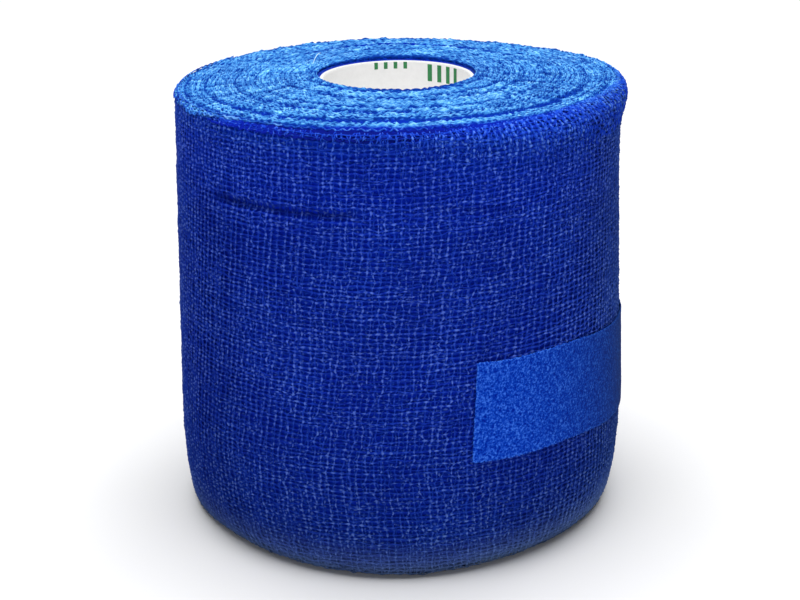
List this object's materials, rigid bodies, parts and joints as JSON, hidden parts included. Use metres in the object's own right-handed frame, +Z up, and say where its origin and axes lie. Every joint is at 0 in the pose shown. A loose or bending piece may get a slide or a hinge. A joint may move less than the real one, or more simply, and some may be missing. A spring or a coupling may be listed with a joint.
{
  "type": "cohesive bandage roll",
  "caption": "Elastic cohesive gauze bandage wound on a short paper tube, its end held by a crepe closing strip, standing on one end.",
  "frame": {"origin": "middle of the roll's footprint, on the surface that it stands on", "axes": "+Z up along the roll's own axis, -Y towards the side on which the closing strip starts, +X to the right of someone who faces that side"},
  "size_m": [0.1052, 0.1038, 0.1028],
  "materials": {
    "bandage": "matte crinkled open gauze, blue",
    "core": "matte white paper tube",
    "closing_strip": "matte fine crepe, blue"
  },
  "bodies": {
    "root": {"bandage": "bandage", "core": "core", "closing_strip": "closing_strip"}
  },
  "joints": []
}
